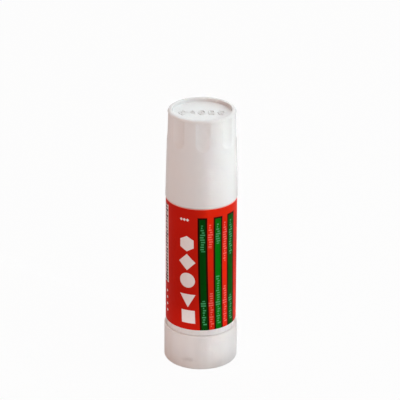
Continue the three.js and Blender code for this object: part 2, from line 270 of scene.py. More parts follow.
def moulded_plastic(name, colour, roughness, glow=0.0, gloss=0.5, scuffs=0.25):
    """White moulded plastic: a faint cloudiness, a satin skin with flow lines along the
    stick, fine scuffs from handling, and a little light that passes through."""
    finish = Finish(name)
    warm = (colour[0], colour[1] * 0.99, colour[2] * 0.98, 1)
    cool = (colour[0] * 0.98, colour[1] * 0.985, colour[2] * 0.985, 1)
    clouds = finish.spread(finish.noise(CLOUD_SIZE, 3), *MOST_NOISE, 0, 1)
    finish.connect(Base_Color=finish.blend(clouds, warm, cool))
    flow = finish.noise(FLOW_SIZE, 3, stretch=(1, 1, 0.12))
    scratches = finish.noise(SCRATCH_SIZE, 4, stretch=(1, 1, 6), roughness=0.7)
    marks = finish.spread(scratches, 0.62, 0.74, 0, scuffs)
    base = finish.spread(flow, *MOST_NOISE, roughness * 0.85, roughness * 1.2)
    finish.connect(Roughness=finish.calc("ADD", base, marks))
    grain = finish.noise(GRAIN_SIZE, 2)
    skin = finish.calc("ADD", grain, finish.calc("MULTIPLY", flow, 2.0))
    finish.bump(skin, SKIN_DEPTH, 0.35)
    shader = finish.shader
    shader.inputs["IOR"].default_value = PLASTIC_IOR
    shader.inputs["Specular IOR Level"].default_value = gloss
    shader.inputs["Subsurface Weight"].default_value = glow
    shader.inputs["Subsurface Radius"].default_value = (1.0, 0.85, 0.7)
    shader.inputs["Subsurface Scale"].default_value = GLOW_DEPTH * MM
    return finish


body = BORE + BODY_WALL
neck = BORE + NECK_WALL
spigot = BORE + SPIGOT_WALL
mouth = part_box("barrel")[1].z / MM
spigot_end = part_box("barrel")[0].z / MM


def neck_at(height):
    """Radius of the drafted neck."""
    return neck - (height - SHOULDER) * DRAFT


barrel_outline = rounded_outline(
    [
        (BORE, spigot_end, 0.1),
        (spigot, spigot_end, 0.25),
        (spigot, SNAP_BEAD_LOW, 0.1),
        (SNAP_BEAD_RADIUS, SNAP_BEAD_LOW + SNAP_SLOPE, 0.2),
        (SNAP_BEAD_RADIUS, SNAP_BEAD_HIGH - SNAP_SLOPE, 0.2),
        (spigot, SNAP_BEAD_HIGH, 0.1),
        (spigot, BODY_BOTTOM, 0.1),
        (body, BODY_BOTTOM, 0.06),
        (body, SHOULDER, 0.1),
        (neck, SHOULDER, 0.15),
        (neck_at(NECK_BEAD_LOW), NECK_BEAD_LOW, 0.1),
        (neck_at(NECK_BEAD_LOW) + NECK_BEAD_RISE, NECK_BEAD_LOW + NECK_BEAD_SLOPE, 0.2),
        (neck_at(NECK_BEAD_HIGH) + NECK_BEAD_RISE, NECK_BEAD_HIGH - NECK_BEAD_SLOPE, 0.2),
        (neck_at(NECK_BEAD_HIGH), NECK_BEAD_HIGH, 0.1),
        (neck_at(mouth), mouth, 0.3),
        (BORE, mouth, 0.15),
        (BORE, KEY_TOP + 0.1, 0),
        (BORE, KEY_TOP - 0.1, 0),
        (BORE, KEY_FOOT + 0.2, 0),
        (BORE, KEY_FOOT - 0.1, 0),
        (BORE, WEB_HIGH, 0.2),
        (WEB_BOSS, WEB_HIGH, 0.1),
        (WEB_BOSS, WEB_BOSS_TOP, 0.15),
        (WEB_HOLE, WEB_BOSS_TOP, 0.1),
        (WEB_HOLE, WEB_LOW, 0.1),
        (BORE, WEB_LOW, 0.2),
    ],
    closed=True,
)
barrel = turned_piece("barrel_tube", barrel_outline, 240, closed=True, reshape=barrel_keys)
moulded_plastic("barrel_white", BARREL_WHITE, 0.28, glow=0.25, gloss=0.3).put_on(barrel)
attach(barrel, "barrel")
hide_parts("barrel")

# The spindle: a left-hand plastic screw, moulded with its collar and six-sided foot. It is
# pushed up through the web of the barrel, and the knob's hub holds its foot from below.
SCREW_ROOT = 2.2
SCREW_CREST = 3.1
SCREW_LEAD = 5.0
SCREW_CREST_WIDTH = 1.1
SCREW_FLANK_WIDTH = 0.8
SCREW_FLANK_EASE = 0.4
SCREW_START = 13.2
SCREW_NECK = 0.2
SCREW_GROWS_OVER = 0.6
SCREW_FADES_OVER = 0.9
SCREW_TIP = 1.2
SCREW_ROWS = 260
JOURNAL = 3.3
COLLAR_LOW = 8.9
COLLAR_HIGH = 10.1
COLLAR_RADIUS = 4.6
FOOT_SIDES = 6
FOOT_CORNER = 3.2
SCREW_WHITE = (0.78, 0.765, 0.73)


def even_steps(first, last, count):
    """Values from the first to the last in equal steps, both counted in."""
    return [first + (last - first) * step / count for step in range(count + 1)]


def screw_radius(height, angle, root, crest, crest_width, flank_width):
    """Radius of the screw's surface: a flat crest, a flat root and eased flanks."""
    from_crest = nearest_of(1, 0, angle + 2 * math.pi * (height - SCREW_START) / SCREW_LEAD)
    along = abs(from_crest) / (2 * math.pi) * SCREW_LEAD
    down = min(max((along - crest_width / 2) / flank_width, 0), 1)
    eased = down * down * (3 - 2 * down)
    return crest + (root - crest) * ((1 - SCREW_FLANK_EASE) * down + SCREW_FLANK_EASE * eased)


def spindle_shape(radius, height, angle):
    """Cuts the foot to its six sides, and raises the thread on the screw."""
    if height < COLLAR_LOW:
        across = abs(nearest_of(FOOT_SIDES, 0, angle - math.pi / FOOT_SIDES))
        return min(radius, FOOT_CORNER * math.cos(math.pi / FOOT_SIDES) / math.cos(across))
    if height < SCREW_START + SCREW_NECK or radius < SCREW_ROOT:
        return radius
    thread = screw_radius(
        height, angle, SCREW_ROOT, SCREW_CREST, SCREW_CREST_WIDTH, SCREW_FLANK_WIDTH
    )
    grown = (height - SCREW_START - SCREW_NECK) / SCREW_GROWS_OVER
    faded = (screw_high - height) / SCREW_FADES_OVER
    return SCREW_ROOT + (thread - SCREW_ROOT) * max(min(grown, faded, 1), 0)


foot_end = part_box("spindle")[0].z / MM
screw_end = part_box("spindle")[1].z / MM
screw_low = SCREW_START + SCREW_NECK + 0.05
screw_high = screw_end - SCREW_TIP
spindle_outline = rounded_outline(
    [
        (0, foot_end, 0),
        (FOOT_CORNER, foot_end, 0.3),
        (FOOT_CORNER, COLLAR_LOW, 0.1),
        (COLLAR_RADIUS, COLLAR_LOW, 0.2),
        (COLLAR_RADIUS, COLLAR_HIGH, 0.2),
        (JOURNAL, COLLAR_HIGH, 0.1),
        (JOURNAL, SCREW_START - 0.3, 0.2),
        (SCREW_ROOT, SCREW_START, 0.1),
        *[(SCREW_ROOT, level, 0) for level in even_steps(screw_low, screw_high, SCREW_ROWS)],
        (SCREW_ROOT / 2, screw_end, 0.3),
        (0, screw_end, 0),
    ],
    closed=False,
)
spindle = turned_piece("screw_spindle", spindle_outline, 72, reshape=spindle_shape)
moulded_plastic("screw_white", SCREW_WHITE, 0.42, glow=0.05).put_on(spindle)
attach(spindle, "knob")
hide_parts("spindle")

# The knob: a smooth cup of slightly cloudy white plastic that the stick stands on. It snaps
# over the bead of the spigot, turns on it, and drives the screw through its hub.
KNOB_WALL = 1.25
KNOB_FLOOR = 2.4
KNOB_HUB = 4.9
KNOB_HUB_TOP = 8.6
KNOB_GROOVE_LOW = 5.5
KNOB_GROOVE_HIGH = 8.0
KNOB_GROOVE_RADIUS = 12.8
KNOB_FOOT_ROUND = 0.75
SOCKET_RADIUS = FOOT_CORNER + 0.35
SOCKET_BOTTOM = 1.8
RECESS_DEPTH = 1.0
RECESS_RADIUS = 11.2
RECESS_SLOPE = 0.5
GATE_RADIUS = 1.6
GATE_DEPTH = 0.3
GATE_NIB_RADIUS = 0.45
GATE_NIB_RISE = 0.15
KNOB_WHITE = (0.85, 0.82, 0.80)
KNOB_STREAK = (0.72, 0.685, 0.665, 1)
STREAK_SIZE = 4.5
DARK_PATCH_PLACE = (-4.6 * MM, -12.7 * MM, 3.9 * MM)
DARK_PATCH_REACH = (3.2 * MM, 3.0 * MM, 1.0 * MM)
DARK_PATCH_EDGE_SIZE = 2.2
DARK_PATCH_GREY = (0.62, 0.585, 0.56, 1)

knob_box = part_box("knob")
knob_radius = knob_box[1].x / MM
knob_top = knob_box[1].z / MM
knob_inner = knob_radius - KNOB_WALL
knob_outline = rounded_outline(
    [
        (0, RECESS_DEPTH - GATE_NIB_RISE, 0),
        (GATE_NIB_RADIUS - 0.1, RECESS_DEPTH - GATE_NIB_RISE, 0.05),
        (GATE_NIB_RADIUS, RECESS_DEPTH + GATE_DEPTH, 0.05),
        (GATE_RADIUS - 0.2, RECESS_DEPTH + GATE_DEPTH, 0.1),
        (GATE_RADIUS, RECESS_DEPTH, 0.1),
        (RECESS_RADIUS - RECESS_SLOPE, RECESS_DEPTH, 0.3),
        (RECESS_RADIUS, 0, 0.2),
        (knob_radius, 0, KNOB_FOOT_ROUND),
        (knob_radius, knob_top, 0.4),
        (knob_inner, knob_top, 0.3),
        (knob_inner, KNOB_GROOVE_HIGH, 0.1),
        (KNOB_GROOVE_RADIUS, KNOB_GROOVE_HIGH - SNAP_SLOPE, 0.1),
        (KNOB_GROOVE_RADIUS, KNOB_GROOVE_LOW + SNAP_SLOPE, 0.1),
        (knob_inner, KNOB_GROOVE_LOW, 0.1),
        (knob_inner, KNOB_FLOOR, 0.3),
        (KNOB_HUB, KNOB_FLOOR, 0.3),
        (KNOB_HUB, KNOB_HUB_TOP, 0.2),
        (SOCKET_RADIUS, KNOB_HUB_TOP, 0.1),
        (SOCKET_RADIUS, SOCKET_BOTTOM, 0.1),
        (0, SOCKET_BOTTOM, 0),
    ],
    closed=False,
    steps=6,
)
knob = turned_piece("turning_knob", knob_outline, 256)


def dark_patch_cover(finish):
    """Cover of a darker grey patch low on the knob's front left: more than half in its middle,
    with a ragged edge.
    """
    away = finish.vector("SUBTRACT", finish.place, DARK_PATCH_PLACE)[0]
    squashed = finish.vector("DIVIDE", away, DARK_PATCH_REACH)[0]
    from_middle = finish.vector("LENGTH", squashed)["Value"]
    ragged = finish.spread(finish.noise(DARK_PATCH_EDGE_SIZE, 3), *MOST_NOISE, -0.4, 0.4)
    return finish.spread(finish.calc("ADD", from_middle, ragged), 0.1, 1.2, 0.6, 0, smooth=True)


satin = moulded_plastic("knob_white", KNOB_WHITE, 0.34, glow=0.3, gloss=0.2, scuffs=0.35)
cloudy = satin.shader.inputs["Base Color"].links[0].from_socket
streaks = satin.spread(satin.noise(STREAK_SIZE, 1, stretch=(1, 1, 0.12)), 0.35, 0.65, 0, 0.4)
streaked = satin.blend(streaks, cloudy, KNOB_STREAK)
# A darker grey patch with a ragged edge is laid low on the knob's front left.
satin.connect(Base_Color=satin.blend(dark_patch_cover(satin), streaked, DARK_PATCH_GREY))
satin.put_on(knob)
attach(knob, "knob")
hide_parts("knob")

# The carrier: a moulded cup that lifts the glue. The nut in its middle runs on the screw,
# and its notches slide on the keys of the barrel, so that it rises without turning.
CARRIER_CLEARANCE = 0.3
CARRIER_WALL = 1.0
CARRIER_SKIRT = 3.0
CARRIER_DISC = 1.4
LIP_RADIUS = 10.65
LIP_HEIGHT = 0.8
LIP_SLOPE = 0.2
NUT_RADIUS = 4.9
NUT_RISE = 4.0
NUT_ROWS = 44
THREAD_CLEARANCE = 0.3

carrier_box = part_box("carrier")
carrier_low = carrier_box[0].z / MM
carrier_high = carrier_box[1].z / MM
carrier_radius = BORE - CARRIER_CLEARANCE
cup_wall = carrier_radius - CARRIER_WALL
disc_low = carrier_low + CARRIER_SKIRT
disc_high = disc_low + CARRIER_DISC
nut_high = disc_high + NUT_RISE
nut_bore = SCREW_CREST + THREAD_CLEARANCE


def key_notches(radius, height, angle):
    """Draws a radius in where a notch clears a key of the barrel."""
    deepest = BORE - KEY_HEIGHT - CARRIER_CLEARANCE
    if radius <= deepest:
        return radius
    across = abs(nearest_of(KEY_COUNT, 0, angle)) * radius
    half_width = KEY_WIDTH / 2 + CARRIER_CLEARANCE
    cut = min(max((half_width - across) / KEY_FLANK + 0.5, 0), 1)
    return radius + (deepest - radius) * cut


def carrier_shape(radius, height, angle):
    """Threads the nut's bore with the screw's helix, and cuts the notches outside."""
    if radius < SCREW_CREST + 1:
        root = SCREW_ROOT + THREAD_CLEARANCE
        width = SCREW_CREST_WIDTH + 2 * THREAD_CLEARANCE
        return screw_radius(height, angle, root, nut_bore, width, SCREW_FLANK_WIDTH)
    return key_notches(radius, height, angle)


carrier_outline = rounded_outline(
    [
        (NUT_RADIUS, carrier_low, 0.15),
        (NUT_RADIUS, disc_low, 0.2),
        (cup_wall, disc_low, 0.2),
        (cup_wall, carrier_low, 0.1),
        (LIP_RADIUS, carrier_low, 0.15),
        (LIP_RADIUS, carrier_low + LIP_HEIGHT, 0.1),
        (carrier_radius, carrier_low + LIP_HEIGHT + LIP_SLOPE, 0.1),
        (carrier_radius, carrier_high - LIP_HEIGHT - LIP_SLOPE, 0.1),
        (LIP_RADIUS, carrier_high - LIP_HEIGHT, 0.1),
        (LIP_RADIUS, carrier_high, 0.15),
        (cup_wall, carrier_high, 0.15),
        (cup_wall, disc_high, 0.2),
        (NUT_RADIUS, disc_high, 0.2),
        (NUT_RADIUS, nut_high, 0.15),
        *[(nut_bore, level, 0) for level in even_steps(nut_high, carrier_low, NUT_ROWS)],
    ],
    closed=True,
)
carrier = turned_piece("glue_carrier", carrier_outline, 192, closed=True, reshape=carrier_shape)
moulded_plastic("carrier_white", SCREW_WHITE, 0.4, glow=0.05).put_on(carrier)
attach(carrier, "carrier")
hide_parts("carrier")

# The glue: a waxy off-white column, cast hot into the cup of the carrier round the screw.
# Rubbing on paper has dished and rounded its top, and the keys have left four grooves.
GLUE_CLEARANCE = 0.3
GLUE_EDGE = 1.5
GLUE_BRIM = 3.0
GLUE_DISH_FROM = 5.0
GLUE_DISH = 0.5
GLUE_WHITE = (0.84, 0.80, 0.69, 1)
GLUE_CREAM = (GLUE_WHITE[0] * 0.95, GLUE_WHITE[1] * 0.93, GLUE_WHITE[2] * 0.87, 1)
GLUE_CLOUD_SIZE = 3.5
GLUE_DRAG_SIZE = 1.1
GLUE_GRAIN_SIZE = 0.4
GLUE_SKIN_DEPTH = 0.09
GLUE_GLOW_DEPTH = 2.0

glue_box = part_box("glue")
glue_low = glue_box[0].z / MM
glue_top = glue_box[1].z / MM
glue_radius = BORE - GLUE_CLEARANCE
cup_plug = cup_wall - GLUE_CLEARANCE
glue_outline = rounded_outline(
    [
        (NUT_RADIUS + GLUE_CLEARANCE, glue_low, 0.1),
        (cup_plug, glue_low, 0.2),
        (cup_plug, carrier_high + GLUE_CLEARANCE, 0.1),
        (glue_radius, carrier_high + GLUE_CLEARANCE, 0.2),
        (glue_radius, glue_top - 0.02, GLUE_EDGE),
        (glue_radius - GLUE_BRIM, glue_top - 0.1, 1.5),
        (glue_radius - GLUE_DISH_FROM, glue_top - GLUE_DISH * 0.6, 1.0),
        (nut_bore, glue_top - GLUE_DISH, 0.4),
        (nut_bore, nut_high + GLUE_CLEARANCE, 0.2),
        (NUT_RADIUS + GLUE_CLEARANCE, nut_high + GLUE_CLEARANCE, 0.2),
    ],
    closed=True,
    steps=6,
)
glue = turned_piece("glue_column", glue_outline, 192, closed=True, reshape=key_notches)

wax = Finish("glue_wax")
clouds = wax.spread(wax.noise(GLUE_CLOUD_SIZE, 3), 0.35, 0.7, 0, 1)
wax.connect(Base_Color=wax.blend(clouds, GLUE_WHITE, GLUE_CREAM))
drag = wax.noise(GLUE_DRAG_SIZE, 4, stretch=(0.25, 1, 1), roughness=0.65)
wax.connect(Roughness=wax.spread(drag, *MOST_NOISE, 0.34, 0.62))
grain = wax.calc("MULTIPLY", wax.noise(GLUE_GRAIN_SIZE, 2), 0.4)
wax.bump(wax.calc("ADD", drag, grain), GLUE_SKIN_DEPTH, 0.5)
wax.shader.inputs["Subsurface Weight"].default_value = 0.35
wax.shader.inputs["Subsurface Radius"].default_value = (1.0, 0.8, 0.5)
wax.shader.inputs["Subsurface Scale"].default_value = GLUE_GLOW_DEPTH * MM
wax.put_on(glue)
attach(glue, "carrier")
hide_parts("glue")

# The label: a glossy printed film, wrapped once round the barrel and lapped at the back.
# Its print is red, with three green stripes and a column of plain white paper-craft shapes.
# Places of the print are (degrees round the stick, height), and a lean is degrees per mm.
FILM_THICKNESS = 0.15
LAP_START = math.radians(171)
LAP_END = math.radians(186)
LAP_STEP = math.radians(0.4)
LAP_FADES_OVER = math.radians(6)
LAP_RISE = 0.06
LABEL_ROWS = 12
PRINT_LEAN = 0.09
PRINT_BOW = 0.0018
PRINT_MIDDLE = 40.0
INK_RED = (0.64, 0.0140, 0.0055, 1)
INK_RED_CLOUD = (0.615, 0.0125, 0.0048, 1)
# A lighter, more orange red painted where the key light falls on the label's right side: painted
# light.
INK_RED_PAINTED_LIT = (0.685, 0.0185, 0.0040, 1)
INK_CLOUD_SIZE = 14
PAINTED_LIGHT_RISES = (-13, 9)
PAINTED_LIGHT_FADES = (95, 165)
INK_TRAP = (0.018, 0.004, 0.0005, 1)
INK_WHITE = (0.97, 0.90, 0.88, 1)
INK_LIGHT_GREEN = (0.055, 0.33, 0.12, 1)
INK_PINK = (0.80, 0.11, 0.085, 1)
INK_BLACK = (0.02, 0.006, 0.006, 1)
# Pink top margin: partly white print, partly a painted highlight along the cap's lower edge.
MARGIN_INK_AND_PAINTED_HIGHLIGHT = (0.97, 0.42, 0.37, 1)
STRIPES = (
    (3.2, 0.108, 3.55, (0.0005, 0.060, 0.003, 1)),
    (28.5, 0.066, 3.6, (0.0003, 0.165, 0.004, 1)),
    (55.3, 0.058, 4.1, (0.0003, 0.078, 0.001, 1)),
)
STRIPE_TOP = 61.4
STRIPE_EDGE = 0.12
TRAP_WIDTH = 0.72
TICK_SHIFT = 0.3
TICK_EDGE = 0.1
STRIPE_TICKS = {"pitch": 0.95, "bar": 0.55, "least": 0.2, "most": 0.95}
TICK_RUNS = (
    (3.2, 0.108, INK_LIGHT_GREEN, ((47.9, 58.5), (17.9, 28.2))),
    (15.9, 0.09, INK_PINK, ((49.1, 59.0), (17.0, 31.3))),
    (28.5, 0.066, INK_LIGHT_GREEN, ((50.7, 58.7), (17.9, 38.1))),
    (41.8, 0.06, INK_PINK, ((42.6, 58.8), (18.0, 33.3))),
    (55.3, 0.058, INK_LIGHT_GREEN, ((44.7, 58.9), (18.0, 28.7))),
)
SHAPES = ((4, 2.6, 45), (3, 1.75, 60), (32, 2.95, 0), (4, 2.3, 0), (6, 2.65, 0))
SHAPE_CENTRE = -23.0
SHAPE_PITCH = 7.35
SHAPE_FIRST = 21.4
EDGE_STRIP_CENTRE = -72.9
EDGE_STRIP_WIDTH = 3.2
EDGE_STRIP_SPAN = (32.0, 63.0)
EDGE_TICKS = {"pitch": 1.2, "bar": 0.85, "least": 0.6, "most": 1.3}
DIAMOND_REACH = 0.62
UPPER_DIAMONDS = [(-27.0 + 5.5 * step, 60.2) for step in (-1, 0, 1)]
EDGE_DIAMONDS = [(-72.0, 20.5 + 2.6 * step) for step in range(4)]
TOP_MARGIN = 0.2
MARGIN_EDGE = 0.02
FILM_GRAIN_SIZE = 0.6
FILM_WAVE_SIZE = 5
FILM_WAVE_DEPTH = 0.02
FILM_IOR = 1.2
FILM_GLOSS = 0.1

label_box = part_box("label")
label_radius = label_box[1].y / MM
label_low = label_box[0].z / MM
label_high = label_box[1].z / MM
label_inner = label_radius - FILM_THICKNESS


def label_lap(radius, height, angle):
    """The lapped end of the film stands a little proud at the back."""
    if radius <= label_inner + HAIR:
        return radius
    risen = (angle - LAP_START) / LAP_STEP
    faded = (LAP_END - angle) / LAP_FADES_OVER
    return radius + LAP_RISE * max(0, min(risen, faded, 1))


label_levels = even_steps(label_low, label_high, LABEL_ROWS)[1:-1]
label_outline = rounded_outline(
    [
        (label_inner, label_low, 0.02),
        (label_radius, label_low, 0.06),
        *[(label_radius, level, 0) for level in label_levels],
        (label_radius, label_high, 0.06),
        (label_inner, label_high, 0.02),
    ],
    closed=True,
    steps=3,
    hold=0.05,
)
label = turned_piece("wrap_label", label_outline, 450, closed=True, reshape=label_lap)

film = Finish("printed_film")
film_place = film.node("ShaderNodeSeparateXYZ", {0: film.place}).outputs
print_height = film.calc("DIVIDE", film_place["Z"], MM)
film_turn = film.calc("ARCTAN2", film_place["X"], film.calc("MULTIPLY", film_place["Y"], -1))
print_degrees = film.calc("MULTIPLY", film_turn, 180 / math.pi)
above_middle = film.calc("SUBTRACT", print_height, PRINT_MIDDLE)
bowed = film.calc("MULTIPLY", film.calc("MULTIPLY", above_middle, above_middle), PRINT_BOW)
mm_per_degree = label_radius * math.pi / 180


def across_from(centre, lean=PRINT_LEAN):
    """Distance along the film, in millimetres, from a nearly upright line of the print."""
    leaned = film.calc("SUBTRACT", bowed, film.calc("MULTIPLY", above_middle, lean))
    line = film.calc("ADD", leaned, centre)
    return film.calc("MULTIPLY", film.calc("SUBTRACT", print_degrees, line), mm_per_degree)


def inked(distance, edge=0.05):
    """Cover of an ink whose edge lies where the distance is nought, inside it negative."""
    return film.spread(distance, -edge, edge, 1, 0, smooth=True)


def block(across, width, low, high):
    """Signed distance to an upright block of print."""
    beside = film.calc("SUBTRACT", film.calc("ABSOLUTE", across), width / 2)
    from_middle = film.calc("SUBTRACT", print_height, (low + high) / 2)
    beyond = film.calc("SUBTRACT", film.calc("ABSOLUTE", from_middle), (high - low) / 2)
    return film.calc("MAXIMUM", beside, beyond)


def uneven_ticks(across, low, high, pitch, bar, least, most):
    """Signed distance to a column of short ticks, each of its own length and shift."""
    steps = film.calc("DIVIDE", print_height, pitch)
    from_middle = film.calc("ABSOLUTE", film.calc("SUBTRACT", film.calc("FRACT", steps), 0.5))
    along = film.calc("SUBTRACT", film.calc("MULTIPLY", from_middle, pitch), bar / 2)
    row = {"W": film.calc("FLOOR", steps)}
    chance = film.node("ShaderNodeTexWhiteNoise", row, noise_dimensions="1D").outputs
    shift = film.spread(chance["Value"], 0, 1, -TICK_SHIFT, TICK_SHIFT)
    second = film.node("ShaderNodeSeparateColor", {0: chance["Color"]}).outputs["Green"]
    reach = film.spread(second, 0, 1, least, most)
    shifted = film.calc("ABSOLUTE", film.calc("SUBTRACT", across, shift))
    tick = film.calc("MAXIMUM", along, film.calc("SUBTRACT", shifted, reach))
    return film.calc("MAXIMUM", tick, block(across, 2 * (most + TICK_SHIFT), low, high))


def polygon(across, along, sides, inner, turn_degrees):
    """Signed distance to a regular polygon with the given distance from centre to side."""
    whole_turns = math.radians(turn_degrees) + 2 * math.pi
    angle = film.calc("ADD", film.calc("ARCTAN2", across, along), whole_turns)
    sector = 2 * math.pi / sides
    folded = film.calc("SUBTRACT", film.calc("MODULO", angle, sector), sector / 2)
    across_squared = film.calc("MULTIPLY", across, across)
    squared = film.calc("ADD", across_squared, film.calc("MULTIPLY", along, along))
    reach = film.calc("MULTIPLY", film.calc("SQRT", squared), film.calc("COSINE", folded))
    return film.calc("SUBTRACT", reach, inner)


ink_clouds = film.spread(film.noise(INK_CLOUD_SIZE, 2), 0.35, 0.65, 0, 1)
colour = film.blend(ink_clouds, INK_RED, INK_RED_CLOUD)
# Painted light: the red turns lighter and more orange from just left of the front round the
# right side, fading out again towards the back.
painted_light_rise = film.spread(print_degrees, *PAINTED_LIGHT_RISES, 0, 1, smooth=True)
painted_light_fade = film.spread(print_degrees, *PAINTED_LIGHT_FADES, 1, 0, smooth=True)
colour = film.blend(film.calc("MULTIPLY", painted_light_rise, painted_light_fade), colour, INK_RED_PAINTED_LIT)
for centre, lean, width, green in STRIPES:
    stripe = block(across_from(centre, lean), width, label_low - 1, STRIPE_TOP)
    colour = film.blend(inked(stripe, STRIPE_EDGE), colour, INK_TRAP)
    inside_trap = film.calc("ADD", stripe, TRAP_WIDTH)
    colour = film.blend(inked(inside_trap, STRIPE_EDGE), colour, green)
for centre, lean, ink, spans in TICK_RUNS:
    across = across_from(centre, lean)
    for low, high in spans:
        ticks = uneven_ticks(across, low, high, **STRIPE_TICKS)
        colour = film.blend(inked(ticks, TICK_EDGE), colour, ink)

shape_across = across_from(SHAPE_CENTRE)
for index, (sides, inner, turn_degrees) in enumerate(SHAPES):
    along = film.calc("SUBTRACT", print_height, SHAPE_FIRST + SHAPE_PITCH * index)
    shape = polygon(shape_across, along, sides, inner, turn_degrees)
    colour = film.blend(inked(shape), colour, INK_WHITE)

strip_across = across_from(EDGE_STRIP_CENTRE)
edge_strip = block(strip_across, EDGE_STRIP_WIDTH, *EDGE_STRIP_SPAN)
colour = film.blend(inked(edge_strip), colour, INK_WHITE)
edge_ticks = uneven_ticks(strip_across, *EDGE_STRIP_SPAN, **EDGE_TICKS)
colour = film.blend(inked(edge_ticks), colour, INK_BLACK)

for centre, level in UPPER_DIAMONDS + EDGE_DIAMONDS:
    beside = film.calc("ABSOLUTE", across_from(centre))
    beyond = film.calc("ABSOLUTE", film.calc("SUBTRACT", print_height, level))
    diamond = film.calc("SUBTRACT", film.calc("ADD", beside, beyond), DIAMOND_REACH)
    colour = film.blend(inked(diamond), colour, INK_WHITE)

# The label's top margin is tinted pink: partly white print, partly a painted highlight line
# under the cap's edge.
highlight_margin_low = label_high - TOP_MARGIN
margin = film.spread(print_height, highlight_margin_low - MARGIN_EDGE, highlight_margin_low + MARGIN_EDGE, 0, 1)
film.connect(Base_Color=film.blend(margin, colour, MARGIN_INK_AND_PAINTED_HIGHLIGHT))
film.connect(Roughness=film.spread(film.noise(FILM_GRAIN_SIZE, 3), *MOST_NOISE, 0.28, 0.4))
film.bump(film.noise(FILM_WAVE_SIZE, 2, stretch=(1, 1, 0.4)), FILM_WAVE_DEPTH, 0.4)
film.shader.inputs["IOR"].default_value = FILM_IOR
film.shader.inputs["Specular IOR Level"].default_value = FILM_GLOSS
film.put_on(label)
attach(label, "barrel")
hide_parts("label")

# The cap: one drafted moulding in glossy white plastic. Its sunk top has an unbroken rim,
# and eight finger flutes are pressed in below it. It seats on the shoulder of the barrel.
CAP_SEAT = 0.3
CAP_WALL = 1.0
CAP_SKIN = 0.35
CAP_MOUTH = 13.2
CAP_RIM_WIDTH = 1.55
CAP_RECESS = 1.5
CAP_ROOF = 1.2
CAP_PLAIN_FOOT = 1.0
CAP_EDGE = 0.9
CAP_EDGE_STEPS = 8
CAP_EDGE_TURNS = (14, 90)
STOP_RADIUS = 10.9
STOP_WIDTH = 1.2
STOP_EDGE = 0.05
GROOVE_LOW = 2.0
GROOVE_HIGH = 4.0
GROOVE_SLOPE = 0.3
GROOVE_DEPTH = 0.2
INSIDE_CORNER = 0.6
INSIDE_STEP = 0.4
INSIDE_ROWS = 42
WALL_ROWS = 10
FLUTE_COUNT = 8
FLUTE_TURN = math.radians(2.5)
FLUTE_WIDTH = 5.4
FLUTE_DEPTH = 0.9
FLUTE_LENGTH = 11.0
FLUTE_LIP = 0.8
FLUTE_WALL = 0.6
FLUTE_SOFTNESS = 0.16
FLUTE_MARGIN = 0.4
FLUTE_FADE = 1.0
FLUTE_TOP_SOFT = 0.06
FLUTE_TOP_STEPS = (-0.2, -0.1, -0.06, -0.02, 0.02, 0.06)
FLUTE_ROWS = 64
CAP_WHITE = (0.865, 0.86, 0.85)

cap_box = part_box("cap")
cap_low = cap_box[0].z / MM - CAP_SEAT
cap_high = cap_box[1].z / MM
flute_top = cap_high - FLUTE_LIP
flute_foot = flute_top - FLUTE_LENGTH
recess_level = cap_high - CAP_RECESS
roof_level = recess_level - CAP_ROOF
stop_level = cap_low + mouth - SHOULDER


def cap_radius_at(height):
    """Outer radius of the drafted cap between its flutes."""
    return CAP_MOUTH - (height - cap_low) * DRAFT


def inner_at(height):
    """Inner radius of the cap between its flutes."""
    return cap_radius_at(height) - CAP_WALL


radius_there = cap_radius_at((flute_top + flute_foot) / 2)
half_flute = FLUTE_WIDTH / 2
chord_depth = FLUTE_DEPTH - (radius_there - math.sqrt(radius_there**2 - half_flute**2))
tool_radius = (half_flute**2 + chord_depth**2) / (2 * chord_depth)
tool_offset = tool_radius - FLUTE_DEPTH
ball_level = flute_foot + math.sqrt(tool_radius**2 - tool_offset**2)


def flute_surface(height, angle, thicker=0.0):
    """Radius of the face that the round flute tool leaves, or None beside the flute."""
    across = nearest_of(FLUTE_COUNT, FLUTE_TURN, angle)
    below = max(ball_level - height, 0)
    reach_squared = (tool_radius + thicker) ** 2 - below**2
    axis = cap_radius_at(height) + tool_offset
    inside = reach_squared - (axis * math.sin(across)) ** 2
    if reach_squared <= 0 or inside <= 0:
        return None
    return axis * math.cos(across) - math.sqrt(inside)


def cap_shape(radius, height, angle):
    """Presses the flutes in, outside and in, and stands the stop ribs between them."""
    outer = cap_radius_at(height)
    on_outside = radius > outer - CAP_SKIN
    if on_outside and flute_foot - FLUTE_FADE < height < flute_top + 0.1:
        face = flute_surface(height, angle)
        if face is None:
            return radius
        cut = min(max((flute_top + FLUTE_TOP_SOFT - height) / (2 * FLUTE_TOP_SOFT), 0), 1)
        drop = radius - face
        soft = (drop + math.sqrt(drop * drop + FLUTE_SOFTNESS**2)) / 2 - FLUTE_SOFTNESS / 2
        return radius - max(soft, 0) * cut
    on_inside = outer - 2 * CAP_WALL < radius < outer - CAP_WALL / 2
    if on_inside and cap_low + GROOVE_HIGH < height < roof_level + 0.1:
        face = flute_surface(height, angle, FLUTE_WALL)
        from_rib = nearest_of(FLUTE_COUNT, FLUTE_TURN + math.pi / FLUTE_COUNT, angle)
        if height > stop_level and abs(from_rib) * radius < STOP_WIDTH / 2:
            return min(radius, STOP_RADIUS)
        return min(radius, face) if face else radius
    return radius


